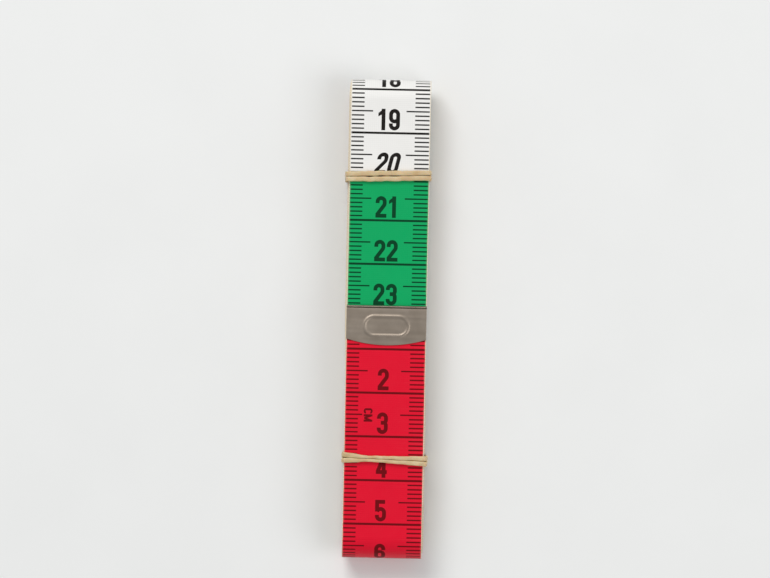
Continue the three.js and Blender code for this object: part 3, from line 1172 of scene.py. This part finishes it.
# Assembly
route = Route()
tape_finishes = []
for colour_name in COLOURS:
    tape_finishes += [
        cloth_finish(f"tape_{colour_name}", COATS[colour_name], variation=0.04, roughness=0.4, gleam=0.18),
        cloth_finish(f"ink_on_{colour_name}", INKS[colour_name], variation=0.08, roughness=0.46, gleam=0.06),
    ]
tape_finishes.append(edge_finish())

tape_end = route.length - tape_end_in_tip
winding_stretch = TapeStretch(route, seam + SEAM_GAP, tape_end, PRINTED_LENGTH, is_back_printed=False)
winding = winding_stretch.make("wound_tape", tape_finishes)
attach(winding, "hank")
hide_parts("tape_winding")

free_stretch = TapeStretch(route, tape_end_in_tip, seam, seam, is_back_printed=True)
free_end = free_stretch.make("lifting_tape_end", tape_finishes)
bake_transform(free_end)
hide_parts("tape_free_end")

tip = tip_mesh("front_metal_tip", metal_finish())
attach(tip, "free_end")
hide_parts("zero_end_tip")

inner_tip = frame["nodes"]["far_end_tip"]
inner_tip.data.materials.clear()
inner_tip.data.materials.append(plain_metal_finish())

rubber = rubber_finish()
upper_front_face = winding_high.z - layer_pitch
upper_reach = (min(UPPER_STRAY), 0)
lower_reach = (0, max(LOWER_STRAY))
upper_band = band_mesh(
    "upper_band_strands", "upper_rubber_band", upper_front_face, upper_reach, UPPER_SPREAD,
    UPPER_BAND_TILT, True, rubber,
)
lower_band = band_mesh(
    "lower_band_strands", "lower_rubber_band", winding_high.z, lower_reach, LOWER_SPREAD,
    LOWER_BAND_TILT, False, rubber,
)
for band, body, node in (
    (upper_band, "upper_band", "upper_rubber_band"),
    (lower_band, "lower_band", "lower_rubber_band"),
):
    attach(band, body)
    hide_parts(node)

# Floor, light and camera
FLOOR_HALF = 3.0
FLOOR_BELOW_BANDS = 0.01 * MM
SKY_COLOUR = (0.96, 0.98, 1.0, 1.0)
SKY_STRENGTH = 0.46


def make_floor():
    """A wide square just under the bands."""
    floor_z = min(0.0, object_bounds()[0].z) - FLOOR_BELOW_BANDS
    mesh = bpy.data.meshes.new("floor")
    corners = [(x * FLOOR_HALF, y * FLOOR_HALF, floor_z) for x, y in ((-1, -1), (1, -1), (1, 1), (-1, 1))]
    mesh.from_pydata(corners, [], [[0, 1, 2, 3]])
    mesh.materials.append(floor_finish())
    made = bpy.data.objects.new("floor", mesh)
    bpy.context.scene.collection.objects.link(made)
    return made


def soft_light(name, place, size, power):
    """A square lamp that faces the hank."""
    lamp = bpy.data.lights.new(name, "AREA")
    lamp.shape = "SQUARE"
    lamp.size = size
    lamp.energy = power
    made = bpy.data.objects.new(name, lamp)
    made.location = place
    made.rotation_euler = (-Vector(place)).to_track_quat("-Z", "Y").to_euler()
    bpy.context.scene.collection.objects.link(made)


def even_sky():
    """A plain world that lights the hank from all round."""
    world = bpy.data.worlds.new("studio")
    world.use_nodes = True
    background = world.node_tree.nodes["Background"]
    background.inputs["Color"].default_value = SKY_COLOUR
    background.inputs["Strength"].default_value = SKY_STRENGTH
    bpy.context.scene.world = world


def photo_camera():
    """A camera that looks straight down on the hank and frames it as the photograph does."""
    data = bpy.data.cameras.new("camera")
    data.sensor_width = SENSOR_WIDTH
    field_width = PHOTO_WIDTH / PIXELS_PER_MM * MM
    data.lens = SENSOR_WIDTH * CAMERA_HEIGHT / field_width
    made = bpy.data.objects.new("camera", data)
    image_right = Vector((math.cos(HANK_LEAN), math.sin(HANK_LEAN), 0))
    image_up = Vector((-math.sin(HANK_LEAN), math.cos(HANK_LEAN), 0))
    right_of_hank = (PHOTO_WIDTH / 2 - HANK_PIXEL[0]) / PIXELS_PER_MM * MM
    above_hank = (HANK_PIXEL[1] - PHOTO_HEIGHT / 2) / PIXELS_PER_MM * MM
    made.location = image_right * right_of_hank + image_up * above_hank
    made.location.z = winding_high.z + CAMERA_HEIGHT
    made.rotation_euler = (0, 0, HANK_LEAN)
    bpy.context.scene.collection.objects.link(made)
    bpy.context.scene.camera = made


floor = make_floor()
soft_light("key", place=(-0.35, 0.75, 0.9), size=0.6, power=7.6)
soft_light("fill", place=(0.7, -0.25, 0.8), size=0.7, power=3.0)
even_sky()
photo_camera()

bpy.context.scene.view_settings.view_transform = "Standard"
